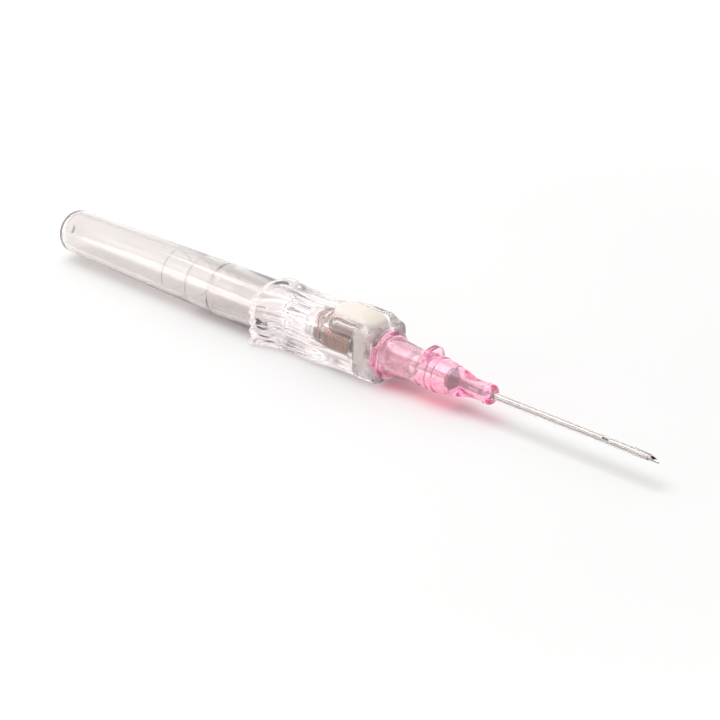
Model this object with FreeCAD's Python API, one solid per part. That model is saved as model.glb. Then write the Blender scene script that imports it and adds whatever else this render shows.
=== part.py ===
import FreeCAD, Part
import math
import os
from FreeCAD import Vector

# Intravenous cannula with a spring-retracted needle, lying on its grip.
# All lengths are millimetres. The device is drawn about its own axis: X runs along it with the
# needle's point at +X and X = 0 at the tip of the coloured hub's nose, Z is up, Y is sideways.
# At the end every piece is moved so that the floor is Z = 0 and the origin is mid-length.

# Needle
needle_diameter = 0.72
needle_bore = 0.50
needle_point_reach = 1.65
bevel_angle = 24.0
lancet_angle = 31.0
lancet_turn = 38.0
lancet_advance = 0.05
notch_length = 1.1
notch_from_tip = 8.4
notch_depth = 0.22
needle_in_chamber = 0.2

# Catheter tube
catheter_gap = 0.02
catheter_wall = 0.17
catheter_reach = 25.0
catheter_tip_taper = 3.2
catheter_tip_wall = 0.06
catheter_past_cone = 0.15
catheter_sleeve_flare = 0.03
catheter_blend = 0.25

# Wedge ferrule
ferrule_wall = 0.08
ferrule_gap = 0.03
ferrule_mouth_radius = 1.40
ferrule_mouth_from_nose = 7.0
ferrule_rim_length = 0.45
ferrule_cone_length = 1.6
ferrule_end_from_nose = 1.5

# Coloured catheter hub
hub_length = 17.95
hub_base_radius = 3.30
hub_base_thickness = 0.60
hub_lug_radius = 3.90
hub_lug_width = 2.6
hub_lug_roll = 15.0
hub_fillet_radius = 2.84
hub_fillet_length = 0.45
hub_neck_radius = 2.62
hub_neck_length = 1.0
hub_waist_radius = 2.18
hub_waist_from_nose = 12.6
hub_collar_radius = 2.45
hub_collar_from_nose = 10.8
hub_collar_thickness = 1.0
hub_shoulder_radius = 2.27
hub_shoulder_from_nose = 8.1
hub_cone_radius = 2.05
hub_cone_from_nose = 6.2
hub_nose_waist_radius = 1.28
hub_nose_waist_from_nose = 3.3
hub_nose_waist_length = 1.7
hub_nose_blend = 0.9
hub_nose_blend_rise = 0.12
hub_nose_radius = 1.38
hub_nose_length = 1.1
hub_nose_round = 0.55
hub_ring_height = 0.14
hub_ring_width = 0.4
tab_half_width = 1.85
tab_top = 3.50
tab_corner = 1.5
luer_mouth_radius = 2.13
luer_taper = 0.03
luer_depth = 6.9
hub_chamber_radius = 1.62

# Needle carriage with its flash chamber, latch neck and stem
stem_radius = 1.05
stem_length = 1.35
stem_well = 0.5
head_radius = 1.60
head_length = 0.75
neck_radius = 1.00
neck_cone = 0.3
carriage_body_radius = 1.75
carriage_flange_thickness = 0.7
carriage_tail_length = 1.75
flash_bore_radius = 1.20
flash_cone_length = 0.8
flash_wall_length = 1.2
plug_length = 2.0
plug_recess = 0.15
adhesive_height = 0.35
adhesive_spread = 0.22

# Retraction spring, held compressed
spring_wire = 0.35
spring_turns = 8
spring_length = 6.4
spring_inner_gap = 0.20
spring_outer_gap = 0.20

# Release button and its keyhole latch plate
button_travel = 1.1
pad_length = 7.7
pad_half_width = 2.25
pad_top = 5.00
pad_thickness = 1.50
pad_crest_from_rear = 4.0
pad_nose_drop = 1.10
pad_heel_drop = 0.25
pad_side_drop = 0.45
pad_front_wall = 0.85
pad_corner = 1.9
pad_edge_round = 0.7
latch_thickness = 1.9
latch_half_width = 2.0
latch_below_axis = 1.75
latch_root = 0.2
keyhole_gap = 0.12
slide_gap = 0.10

# Grip
grip_bottom = 3.85
grip_bottom_trim = 0.04
grip_front_gap = 0.10
grip_length = 20.85
end_wall = 0.85
seat_wall = 0.6
pocket_floor = 2.30
boss_length = 4.7
boss_gap = 0.06
boss_edge = 0.3
stem_gap = 0.07
flare_half_width = 4.55
flare_side_top = 2.70
flare_crown = 3.98
flare_low_corner = 0.5
flare_top_corner = 0.4
flare_thickness = 0.6
flare_steps = 3
waist_half_width = 3.38
waist_side_top = 3.35
waist_crown = 3.75
waist_low_corner = 1.1
waist_top_corner = 1.1
waist_from_rear = 6.2
waist_length = 3.1
cheek_from_rear = 15.4
cheek_length = 2.7
cheek_top = 4.30
cheek_crown = 4.42
front_half_width = 3.70
front_side_top = 3.50
front_crown = 3.72
front_low_corner = 2.40
front_top_corner = 1.00
front_edge_length = 0.5
front_edge_inset = 0.3
flute_half_width = 0.42
flute_depth = 0.30
flute_count = 4
flute_pitch = 1.45
flute_lowest = -2.55

# Spigot at the grip's rear, which snaps into the barrel
spigot_length = 13.2
bead_height = 0.10
bead_width = 0.6
bead_from_end = 4.7

# Barrel
barrel_guide_gap = 0.12
barrel_wall = 0.65
barrel_socket_wall = 0.55
barrel_draft = 1.16
barrel_end_wall = 0.90
barrel_end_round = 1.9
barrel_step_from_socket = 4.5
barrel_step = 0.05
rear_clearance = 0.10
tip_depth = 0.95
gate_radius = 0.85
gate_depth = 0.28

# How far a cutting shape runs past the face that it opens
overrun = 1.0

# Stations along the axis, from the needle's point backwards
needle_tip_x = catheter_reach + needle_point_reach
ferrule_end_x = -ferrule_end_from_nose
sleeve_blend_x = catheter_blend
ferrule_mouth_x = -ferrule_mouth_from_nose
ferrule_rim_x = ferrule_mouth_x + ferrule_rim_length
ferrule_cone_x = ferrule_mouth_x + ferrule_cone_length
catheter_rear_x = ferrule_cone_x + catheter_past_cone
hub_rear_x = -hub_length
hub_base_front_x = hub_rear_x + hub_base_thickness
collar_rear_x = -hub_collar_from_nose
collar_front_x = collar_rear_x + hub_collar_thickness
luer_end_x = hub_rear_x + luer_depth
grip_face_x = hub_rear_x - grip_front_gap
boss_end_x = grip_face_x + boss_length
pad_front_x = grip_face_x - pad_front_wall
pad_rear_x = pad_front_x - pad_length
end_wall_x = grip_face_x - end_wall
head_front_x = end_wall_x - slide_gap
stem_front_x = head_front_x + stem_length
plate_front_x = head_front_x - head_length - slide_gap
plate_rear_x = plate_front_x - latch_thickness
latch_front_x = plate_front_x + slide_gap
latch_rear_x = plate_rear_x - slide_gap
spring_seat_x = latch_rear_x - seat_wall
flash_cone_x = spring_seat_x - flash_wall_length
flash_front_x = flash_cone_x - flash_cone_length
needle_rear_x = flash_front_x - needle_in_chamber
spring_rear_x = spring_seat_x - spring_length
flange_rear_x = spring_rear_x - carriage_flange_thickness
carriage_rear_x = flange_rear_x - carriage_tail_length
plug_rear_x = carriage_rear_x + plug_recess
grip_rear_x = grip_face_x - grip_length
grip_flare_x = grip_rear_x + flare_thickness
grip_waist_x = grip_rear_x + waist_from_rear
cheek_rear_x = grip_rear_x + cheek_from_rear
spigot_end_x = grip_rear_x - spigot_length
bead_x = spigot_end_x + bead_from_end
barrel_step_x = spigot_end_x - barrel_step_from_socket
retract_travel = needle_tip_x - (grip_face_x - tip_depth)
barrel_inner_end_x = carriage_rear_x - retract_travel - rear_clearance
barrel_rear_x = barrel_inner_end_x - barrel_end_wall

# Radii that follow from what they fit
needle_radius = needle_diameter / 2
catheter_inner = needle_radius + catheter_gap
catheter_outer = catheter_inner + catheter_wall
ferrule_inner = needle_radius + ferrule_gap
ferrule_outer = ferrule_inner + ferrule_wall
sleeve_outer = ferrule_outer + catheter_wall
well_radius = needle_radius + stem_well / 2
spring_inner = carriage_body_radius + spring_inner_gap
spring_outer = spring_inner + spring_wire
chamber_radius = spring_outer + spring_outer_gap
head_bore_radius = head_radius + keyhole_gap
barrel_inner_end_radius = spring_outer + barrel_guide_gap
barrel_outer_end_radius = barrel_inner_end_radius + barrel_wall


def barrel_radius(x):
    """Outer radius of the barrel at a station, widening forwards by its draft."""
    slope = math.tan(math.radians(barrel_draft))
    return barrel_outer_end_radius + (x - barrel_inner_end_x) * slope


def luer_radius(x):
    """Radius of the hub's tapered socket at a station, narrowing forwards from its mouth."""
    return luer_mouth_radius - luer_taper * (x - hub_rear_x)


socket_radius = barrel_radius(spigot_end_x) - barrel_socket_wall


def sleeve_radius(x):
    """Outer radius of the tube's rear, stretched over the ferrule and narrowing forwards."""
    share = (ferrule_end_x - x) / (ferrule_end_x - catheter_rear_x)
    return sleeve_outer + catheter_sleeve_flare * share


def blend_radius(x):
    """Outer radius of the tube from the ferrule's end to its straight part past the nose."""
    share = (x - ferrule_end_x) / (sleeve_blend_x - ferrule_end_x)
    return sleeve_outer + (catheter_outer - sleeve_outer) * share


def corner_arc(before, corner, after, radius):
    """Tangent points and middle point of the arc that rounds one corner of an outline."""
    to_before = (before - corner).normalize()
    to_after = (after - corner).normalize()
    half_angle = to_before.getAngle(to_after) / 2
    setback = radius / math.tan(half_angle)
    bisector = (to_before + to_after).normalize()
    centre = corner + bisector * (radius / math.sin(half_angle))
    return corner + to_before * setback, centre - bisector * radius, corner + to_after * setback


def rounded_wire(corners):
    """Closed wire through (point, radius) corners, each radius above zero made a tangent arc."""
    count = len(corners)
    starts = []
    edges = []
    for index, (point, radius) in enumerate(corners):
        if radius > 0:
            before = corners[index - 1][0]
            after = corners[(index + 1) % count][0]
            first, middle, last = corner_arc(before, point, after, radius)
            starts.append((first, Part.Arc(first, middle, last).toShape(), last))
        else:
            starts.append((point, None, point))
    for index, (first, arc, last) in enumerate(starts):
        if arc is not None:
            edges.append(arc)
        following = starts[(index + 1) % count][0]
        if (following - last).Length > 1e-6:
            edges.append(Part.LineSegment(last, following).toShape())
    return Part.Wire(edges)


def turned(corners):
    """Solid turned about the axis from (x, radius, rounding) corners of its half section."""
    points = [(Vector(x, 0, radius), rounding) for x, radius, rounding in corners]
    face = Part.Face(rounded_wire(points))
    return face.revolve(Vector(0, 0, 0), Vector(1, 0, 0), 360)


def rod(start_x, end_x, radius):
    """Cylinder on the axis between two stations."""
    return Part.makeCylinder(radius, end_x - start_x, Vector(start_x, 0, 0), Vector(1, 0, 0))


def block(x_low, x_high, half_width, z_low, z_high):
    """Box centred on the axis sideways."""
    corner = Vector(x_low, -half_width, z_low)
    return Part.makeBox(x_high - x_low, 2 * half_width, z_high - z_low, corner)


def bead_corners():
    """Half-section corners of the snap bead on the spigot, from its front to its rear."""
    front = bead_x + bead_width / 2
    rear = bead_x - bead_width / 2
    return [
        (front, socket_radius, 0),
        (front, socket_radius + bead_height, 0),
        (rear, socket_radius + bead_height, 0),
        (rear, socket_radius, 0),
    ]


def make_barrel():
    """Clear drafted tube with a closed round rear end, a gate dimple and a socket for the grip."""
    dimple_floor = barrel_rear_x + gate_depth
    bore_at_socket = barrel_radius(spigot_end_x) - barrel_wall
    bore_at_step = barrel_radius(barrel_step_x) - barrel_wall
    corners = [
        (dimple_floor, 0, 0),
        (dimple_floor, gate_radius, 0),
        (barrel_rear_x, gate_radius, 0),
        (barrel_rear_x, barrel_radius(barrel_rear_x), barrel_end_round),
        (grip_rear_x, barrel_radius(grip_rear_x), 0),
        (grip_rear_x, socket_radius, 0),
    ]
    corners += bead_corners()
    corners += [
        (spigot_end_x, socket_radius, 0),
        (spigot_end_x, bore_at_socket, 0),
        (barrel_step_x, bore_at_step, 0),
        (barrel_step_x, bore_at_step - barrel_step, 0),
        (barrel_inner_end_x, barrel_inner_end_radius - barrel_step, 0),
        (barrel_inner_end_x, 0, 0),
    ]
    return turned(corners)


def grip_section(x, half_width, side_top, crown, low_corner, top_corner):
    """Cross-section of the grip: upright sides and a low rounded ridge on top."""
    bottom = -grip_bottom - grip_bottom_trim
    return rounded_wire([
        (Vector(x, -half_width, bottom), low_corner),
        (Vector(x, half_width, bottom), low_corner),
        (Vector(x, half_width, side_top), top_corner),
        (Vector(x, 0, crown), half_width),
        (Vector(x, -half_width, side_top), top_corner),
    ])


def flared(x, at_flange, at_waist):
    """Size that eases from the flange to the waist as a parabola, level where it meets the waist."""
    share = (grip_waist_x - x) / (grip_waist_x - grip_flare_x)
    return at_waist + (at_flange - at_waist) * share * share


def flare_stations():
    """Stations from the flange's front face to the start of the waist."""
    span = grip_waist_x - grip_flare_x
    return [grip_flare_x + span * step / flare_steps for step in range(flare_steps + 1)]


def grip_stations():
    """Grip's sections as (x, half width, side top, crown, low and top rounding)."""
    flare = [
        (x, flared(x, flare_half_width, waist_half_width),
         flared(x, flare_side_top, waist_side_top), flared(x, flare_crown, waist_crown),
         flared(x, flare_low_corner, waist_low_corner),
         flared(x, flare_top_corner, waist_top_corner))
        for x in flare_stations()
    ]
    cheek = (front_half_width, cheek_top, cheek_crown, front_low_corner, front_top_corner)
    return [
        (grip_rear_x, *flare[0][1:]),
        *flare,
        (grip_waist_x + waist_length, *flare[-1][1:]),
        (cheek_rear_x, *cheek),
        (cheek_rear_x + cheek_length, *cheek),
        (grip_face_x - front_edge_length, front_half_width, front_side_top, front_crown,
         front_low_corner, front_top_corner),
        (grip_face_x, front_half_width - front_edge_inset, front_side_top - front_edge_inset,
         front_crown - front_edge_inset, front_low_corner, front_top_corner),
    ]


def make_grip_body():
    """Outside of the grip: rear flange, concave finger waist and front block with two cheeks."""
    body = Part.makeLoft([grip_section(*values) for values in grip_stations()], True, True)
    length = grip_face_x - grip_rear_x
    return body.common(block(grip_rear_x, grip_face_x, length, -grip_bottom, length))


def make_flutes():
    """Lengthwise finger grooves that follow both sides from the flange and run out at the cheek."""
    cutters = []
    for side in (-1, 1):
        for index in range(flute_count):
            height = flute_lowest + index * flute_pitch
            spine = [Vector(grip_rear_x - overrun, side * flare_half_width, height)]
            spine += [Vector(x, side * flared(x, flare_half_width, waist_half_width), height)
                      for x in flare_stations()]
            spine.append(Vector(grip_waist_x + waist_length, side * waist_half_width, height))
            spine.append(Vector(cheek_rear_x, side * (front_half_width + flute_depth), height))
            groove = Part.makePolygon([
                spine[0] + Vector(0, -side * flute_depth, 0),
                spine[0] + Vector(0, 0, flute_half_width),
                spine[0] + Vector(0, side * flute_depth, 0),
                spine[0] + Vector(0, 0, -flute_half_width),
                spine[0] + Vector(0, -side * flute_depth, 0),
            ])
            path = Part.makePolygon(spine)
            cutters.append(path.makePipeShell([groove], True, False, 1))
    return cutters


def make_spigot():
    """Tail of the grip that plugs the barrel's socket, with its snap bead."""
    corners = [
        (grip_rear_x, 0, 0),
        (grip_rear_x, socket_radius, 0),
    ]
    corners += bead_corners()
    corners += [
        (spigot_end_x, socket_radius, 0),
        (spigot_end_x, 0, 0),
    ]
    return turned(corners)


def make_grip():
    """Clear grip: outside with flutes, tail spigot, nose boss, bores, latch slot and pocket."""
    boss_root_x = grip_face_x - end_wall / 2
    boss = turned([
        (boss_root_x, 0, 0),
        (boss_root_x, luer_radius(grip_face_x) - boss_gap, 0),
        (boss_end_x - boss_edge, luer_radius(boss_end_x) - boss_gap, 0),
        (boss_end_x, luer_radius(boss_end_x) - boss_gap - boss_edge, 0),
        (boss_end_x, 0, 0),
    ])
    stem_bore_radius = stem_radius + stem_gap
    bores = turned([
        (spigot_end_x - overrun, 0, 0),
        (spigot_end_x - overrun, chamber_radius, 0),
        (spring_seat_x, chamber_radius, 0),
        (spring_seat_x, head_bore_radius, 0),
        (end_wall_x, head_bore_radius, 0),
        (end_wall_x, stem_bore_radius, 0),
        (boss_end_x + overrun, stem_bore_radius, 0),
        (boss_end_x + overrun, 0, 0),
    ])
    slot_floor = -(latch_below_axis + button_travel + slide_gap)
    slot = block(latch_rear_x, latch_front_x, latch_half_width + slide_gap, slot_floor,
                 pocket_floor + overrun)
    pocket = pad_outline(slide_gap).extrude(Vector(0, 0, pad_top))
    pocket.translate(Vector(0, 0, pocket_floor))
    solid = make_grip_body().fuse([make_spigot(), boss])
    return solid.cut([bores, slot, pocket] + make_flutes())


def pad_outline(margin):
    """Face of the button pad's plan outline at Z = 0, grown by a margin."""
    rear = pad_rear_x - margin
    front = pad_front_x + margin
    half_width = pad_half_width + margin
    corner = pad_corner + margin
    return Part.Face(rounded_wire([
        (Vector(rear, -half_width, 0), corner),
        (Vector(front, -half_width, 0), corner),
        (Vector(front, half_width, 0), corner),
        (Vector(rear, half_width, 0), corner),
    ]))


def make_button():
    """Thumb button: crowned oblong pad with a keyhole latch plate hanging below it."""
    pad_low = pad_top - pad_thickness
    side_wire = rounded_wire([
        (Vector(pad_rear_x, 0, pad_low), 0),
        (Vector(pad_front_x, 0, pad_low), 0),
        (Vector(pad_front_x, 0, pad_top - pad_nose_drop), pad_edge_round / 2),
        (Vector(pad_rear_x + pad_crest_from_rear, 0, pad_top), pad_length),
        (Vector(pad_rear_x, 0, pad_top - pad_heel_drop), pad_edge_round),
    ])
    side = Part.Face(side_wire).extrude(Vector(0, 2 * pad_half_width, 0))
    side.translate(Vector(0, -pad_half_width, 0))
    arch_wire = rounded_wire([
        (Vector(pad_rear_x, -pad_half_width, pad_low), 0),
        (Vector(pad_rear_x, pad_half_width, pad_low), 0),
        (Vector(pad_rear_x, pad_half_width, pad_top - pad_side_drop), pad_edge_round),
        (Vector(pad_rear_x, 0, pad_top), 2 * pad_half_width),
        (Vector(pad_rear_x, -pad_half_width, pad_top - pad_side_drop), pad_edge_round),
    ])
    arch = Part.Face(arch_wire).extrude(Vector(pad_length, 0, 0))
    pad = pad_outline(0).extrude(Vector(0, 0, pad_top)).common(side).common(arch)
    plate = block(plate_rear_x, plate_front_x, latch_half_width, -latch_below_axis,
                  pad_low + latch_root)
    hole = rod(latch_rear_x, latch_front_x, head_bore_radius)
    hole.translate(Vector(0, 0, button_travel))
    slot_radius = neck_radius + keyhole_gap
    narrow = rod(latch_rear_x, latch_front_x, slot_radius)
    channel = block(latch_rear_x, latch_front_x, slot_radius, 0, button_travel)
    return pad.fuse(plate.cut([hole, narrow, channel]))


def make_carriage():
    """Clear needle carriage: flash chamber, spring flange, latch neck and head, front stem."""
    return turned([
        (carriage_rear_x, flash_bore_radius, 0),
        (carriage_rear_x, carriage_body_radius, 0),
        (flange_rear_x, carriage_body_radius, 0),
        (flange_rear_x, spring_outer, 0),
        (spring_rear_x, spring_outer, 0),
        (spring_rear_x, carriage_body_radius, 0),
        (spring_seat_x, carriage_body_radius, 0),
        (latch_rear_x - neck_cone, neck_radius, 0),
        (latch_front_x, neck_radius, 0),
        (latch_front_x, head_radius, 0),
        (head_front_x, head_radius, 0),
        (head_front_x, stem_radius, 0),
        (stem_front_x, stem_radius, 0),
        (stem_front_x, well_radius, 0),
        (stem_front_x - stem_well, needle_radius, 0),
        (flash_cone_x, needle_radius, 0),
        (flash_front_x, flash_bore_radius, 0),
    ])


def make_plug():
    """Porous vent plug that closes the rear of the flash chamber."""
    return rod(plug_rear_x, plug_rear_x + plug_length, flash_bore_radius)


def make_adhesive():
    """Bead of cured adhesive that bonds the needle in the stem's well."""
    return turned([
        (stem_front_x - stem_well, needle_radius, 0),
        (stem_front_x, well_radius, 0),
        (stem_front_x + adhesive_height / 2, needle_radius + adhesive_spread, 0),
        (stem_front_x + adhesive_height, needle_radius, 0),
    ])


def grinding_wheel(angle, advance, turn):
    """Block above a ground face that slopes to the needle's point, turned about the axis."""
    length = 3 * needle_diameter / math.tan(math.radians(angle))
    width = 4 * needle_diameter
    wheel = Part.makeBox(length, width, width, Vector(-length, -width / 2, 0))
    wheel.rotate(Vector(0, 0, 0), Vector(0, 1, 0), angle)
    wheel.translate(Vector(needle_tip_x + advance, 0, -needle_radius))
    wheel.rotate(Vector(0, 0, 0), Vector(1, 0, 0), turn)
    return wheel


def make_needle():
    """Steel needle: tube with a bevel facing up, two lancet grinds and a flash notch."""
    tube = rod(needle_rear_x, needle_tip_x, needle_radius)
    lumen = rod(needle_rear_x, needle_tip_x, needle_bore / 2)
    notch_x = needle_tip_x - notch_from_tip
    notch = block(notch_x - notch_length / 2, notch_x + notch_length / 2, needle_radius,
                  needle_radius - notch_depth, needle_diameter)
    return tube.cut([
        lumen,
        notch,
        grinding_wheel(bevel_angle, 0, 0),
        grinding_wheel(lancet_angle, lancet_advance, -lancet_turn),
        grinding_wheel(lancet_angle, lancet_advance, lancet_turn),
    ])


def make_catheter():
    """Clear catheter tube: rear end stretched over the ferrule, tapered front end."""
    taper_x = catheter_reach - catheter_tip_taper
    return turned([
        (catheter_rear_x, ferrule_outer, 0),
        (catheter_rear_x, sleeve_radius(catheter_rear_x), 0),
        (ferrule_end_x, sleeve_outer, 0),
        (sleeve_blend_x, catheter_outer, 0),
        (taper_x, catheter_outer, 0),
        (catheter_reach, catheter_inner + catheter_tip_wall, 0),
        (catheter_reach, catheter_inner, 0),
        (sleeve_blend_x, catheter_inner, 0),
        (ferrule_end_x, ferrule_outer, 0),
    ])


def make_ferrule():
    """Pressed steel ferrule: funnel mouth in the hub and a thin tube that wedges the catheter."""
    inner_mouth_radius = ferrule_mouth_radius - ferrule_wall
    return turned([
        (ferrule_mouth_x, inner_mouth_radius, 0),
        (ferrule_mouth_x, ferrule_mouth_radius, 0),
        (ferrule_rim_x, ferrule_mouth_radius, 0),
        (ferrule_cone_x, ferrule_outer, 0),
        (ferrule_end_x, ferrule_outer, 0),
        (ferrule_end_x, ferrule_inner, 0),
        (ferrule_cone_x - ferrule_wall / 2, ferrule_inner, 0),
        (ferrule_rim_x - ferrule_wall / 2, inner_mouth_radius, 0),
    ])


def ring_corners(centre_x, base_radius):
    """Half-section corners of one raised ring round the hub."""
    rear = centre_x - hub_ring_width / 2
    front = centre_x + hub_ring_width / 2
    top = base_radius + hub_ring_height
    return [(rear, base_radius, 0), (rear, top, 0), (front, top, 0), (front, base_radius, 0)]


def make_hub_body():
    """Turned form of the hub: outside from base to nose, then bores from nose to mouth."""
    neck_x = hub_base_front_x + hub_neck_length
    shoulder_x = -hub_shoulder_from_nose
    nose_waist_x = -hub_nose_waist_from_nose
    corners = [
        (hub_rear_x, luer_mouth_radius, 0),
        (hub_rear_x, hub_base_radius, 0),
        (hub_base_front_x, hub_base_radius, 0),
        (hub_base_front_x + hub_fillet_length, hub_fillet_radius, 0),
        (neck_x, hub_neck_radius, 0),
        (-hub_waist_from_nose, hub_waist_radius, 0),
    ]
    corners += ring_corners((collar_rear_x - hub_waist_from_nose) / 2, hub_waist_radius)
    corners += [
        (collar_rear_x, hub_waist_radius, 0),
        (collar_rear_x, hub_collar_radius, 0),
        (collar_front_x, hub_collar_radius, 0),
        (collar_front_x, hub_shoulder_radius, 0),
    ]
    corners += ring_corners((collar_front_x + shoulder_x) / 2, hub_shoulder_radius)
    corners += [
        (shoulder_x, hub_shoulder_radius, 0),
        (-hub_cone_from_nose, hub_cone_radius, 0),
        (nose_waist_x - hub_nose_blend, hub_nose_waist_radius + hub_nose_blend_rise, 0),
        (nose_waist_x, hub_nose_waist_radius, 0),
        (nose_waist_x + hub_nose_waist_length, hub_nose_waist_radius, 0),
        (-hub_nose_length, hub_nose_radius, 0),
        (-hub_nose_round, hub_nose_radius, 0),
        (-hub_nose_round * (1 - math.sin(math.radians(45))),
         hub_nose_radius - hub_nose_round * (1 - math.cos(math.radians(45))), 0),
        (0, hub_nose_radius - hub_nose_round, 0),
        (0, blend_radius(0), 0),
        (ferrule_end_x, sleeve_outer, 0),
        (ferrule_cone_x, sleeve_radius(ferrule_cone_x), 0),
        (ferrule_rim_x, ferrule_mouth_radius, 0),
        (ferrule_mouth_x, ferrule_mouth_radius, 0),
        (ferrule_mouth_x, hub_chamber_radius, 0),
        (luer_end_x, hub_chamber_radius, 0),
        (luer_end_x, luer_radius(luer_end_x), 0),
    ]
    return turned(corners)


def make_hub():
    """Coloured hub: lugged base, tapered socket, rings, push tab and rounded nose."""
    lug_disc = rod(hub_rear_x, hub_base_front_x, hub_lug_radius)
    lugs = lug_disc.common(block(hub_rear_x, hub_base_front_x, hub_lug_radius,
                                 -hub_lug_width / 2, hub_lug_width / 2))
    lugs.rotate(Vector(0, 0, 0), Vector(1, 0, 0), -hub_lug_roll)
    lugs = lugs.cut(rod(hub_rear_x, hub_base_front_x, hub_neck_radius))
    tab_wire = rounded_wire([
        (Vector(collar_rear_x, -tab_half_width, 0), 0),
        (Vector(collar_rear_x, tab_half_width, 0), 0),
        (Vector(collar_rear_x, tab_half_width, tab_top), tab_corner),
        (Vector(collar_rear_x, -tab_half_width, tab_top), tab_corner),
    ])
    tab = Part.Face(tab_wire).extrude(Vector(hub_collar_thickness, 0, 0))
    tab = tab.cut(rod(collar_rear_x, collar_front_x, hub_waist_radius))
    return make_hub_body().fuse([lugs, tab])


def make_spring():
    """Retraction spring, compressed between the grip's seat and the carriage's flange."""
    coil_radius = spring_inner + spring_wire / 2
    pitch = (spring_length - spring_wire) / spring_turns
    helix = Part.makeHelix(pitch, pitch * spring_turns, coil_radius)
    sides = 4
    section = Part.makePolygon([
        Vector(coil_radius + spring_wire / 2 * math.cos(2 * math.pi * step / sides), 0,
               spring_wire / 2 * math.sin(2 * math.pi * step / sides))
        for step in range(sides + 1)
    ])
    coil = Part.Wire(helix.Edges).makePipeShell([section], True, True)
    coil.rotate(Vector(0, 0, 0), Vector(0, 1, 0), 90)
    coil.translate(Vector(spring_rear_x + spring_wire / 2, 0, 0))
    return coil


nodes = {
    "barrel": make_barrel,
    "grip": make_grip,
    "release_button": make_button,
    "retraction_spring": make_spring,
    "needle_carriage": make_carriage,
    "vent_plug": make_plug,
    "needle_adhesive": make_adhesive,
    "needle": make_needle,
    "catheter_hub": make_hub,
    "wedge_ferrule": make_ferrule,
    "catheter_tube": make_catheter,
}

resting_place = Vector(-(barrel_rear_x + needle_tip_x) / 2, 0, grip_bottom)
os.makedirs("parts", exist_ok=True)
for name, make in nodes.items():
    shape = make()
    shape.translate(resting_place)
    shape.exportStep("parts/" + name + ".step")
    print(name, shape.ShapeType, "solids", len(shape.Solids), "valid", shape.isValid(),
          "volume", round(shape.Volume, 3))
print("origin station", round(-resting_place.x, 4), "axis height", grip_bottom,
      "retract travel", round(retract_travel, 4))
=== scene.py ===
"""Intravenous cannula with a spring-retracted needle, lying on its grip on a white table."""

import logging
import math
from dataclasses import dataclass
from enum import Enum
from typing import Any, Sequence

import bpy
import bmesh
import numpy as np
from mathutils import Matrix, Vector

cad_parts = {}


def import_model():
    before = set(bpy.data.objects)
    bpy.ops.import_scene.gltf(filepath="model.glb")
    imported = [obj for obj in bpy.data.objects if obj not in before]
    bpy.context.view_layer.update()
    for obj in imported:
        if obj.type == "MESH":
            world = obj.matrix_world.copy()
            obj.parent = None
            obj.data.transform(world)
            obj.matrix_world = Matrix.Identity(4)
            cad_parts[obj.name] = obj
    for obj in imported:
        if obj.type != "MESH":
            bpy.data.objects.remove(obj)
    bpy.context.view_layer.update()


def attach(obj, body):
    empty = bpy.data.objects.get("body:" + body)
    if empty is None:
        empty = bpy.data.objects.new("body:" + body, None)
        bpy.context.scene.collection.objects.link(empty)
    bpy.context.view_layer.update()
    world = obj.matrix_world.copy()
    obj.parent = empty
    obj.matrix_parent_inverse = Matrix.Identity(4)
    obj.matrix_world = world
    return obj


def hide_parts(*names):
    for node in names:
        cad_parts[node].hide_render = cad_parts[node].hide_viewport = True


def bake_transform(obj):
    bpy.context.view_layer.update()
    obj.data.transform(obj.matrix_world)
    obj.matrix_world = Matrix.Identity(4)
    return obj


log = logging.getLogger("cannula")

MILLIMETRE = 0.001
NOSE_STATION = 25.65
AXIS_HEIGHT = 3.85
SKIN = 0.012

Array = np.ndarray
Piece = bpy.types.Object
Triple = tuple[float, float, float]
Corner = Triple


class Body(Enum):
    """CAD bodies that the pieces ride on."""

    HOUSING = "housing"
    BUTTON = "button"
    NEEDLE = "needle_assembly"
    CATHETER = "catheter"


class Cut(Enum):
    """Ways of joining two closed meshes."""

    ADD = "UNION"
    REMOVE = "DIFFERENCE"


# Surfaces


def rounded_path(corners: Sequence[Corner], closed: bool, steps: int = 8) -> Array:
    """Outline through corners, each radius above zero made a tangent arc.

    Formula: the arc's centre lies on the corner's bisector at radius over the sine of half the
    angle, and its points turn evenly from one tangent point to the other.

    Args:
        corners: (u, v, radius) of each corner in order.
        closed: Whether the last corner runs on to the first.
        steps: Parts of each arc.

    Returns:
        Points of the outline as an (n, 2) array.
    """
    points = np.array([corner[:2] for corner in corners], float)
    count = len(points)
    rows: list[Array] = []
    for index, (u, v, radius) in enumerate(corners):
        here = np.array([u, v])
        at_end = not closed and index in (0, count - 1)
        if radius <= 0 or at_end:
            rows.append(here[None])
            continue
        to_before = points[index - 1] - here
        to_after = points[(index + 1) % count] - here
        to_before /= np.linalg.norm(to_before)
        to_after /= np.linalg.norm(to_after)
        half = math.acos(float(np.clip(to_before @ to_after, -1, 1))) / 2
        bisector = (to_before + to_after) / np.linalg.norm(to_before + to_after)
        centre = here + bisector * radius / math.sin(half)
        first = here + to_before * radius / math.tan(half) - centre
        last = here + to_after * radius / math.tan(half) - centre
        turn = np.linspace(0, 1, steps + 1)[:, None]
        sweep = math.pi - 2 * half
        rows.append(centre + (np.sin((1 - turn) * sweep) * first + np.sin(turn * sweep) * last)
                    / math.sin(sweep))
    return np.concatenate(rows)


def placed(points: Array) -> Array:
    """Device coordinates in millimetres turned into the frame's metres."""
    return (points + np.array([NOSE_STATION, 0, AXIS_HEIGHT])) * MILLIMETRE


def full_turn(count: int) -> Array:
    """Angles evenly spaced round a full turn, the last short of the first."""
    return np.linspace(0, 2 * math.pi, count, endpoint=False)


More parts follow.
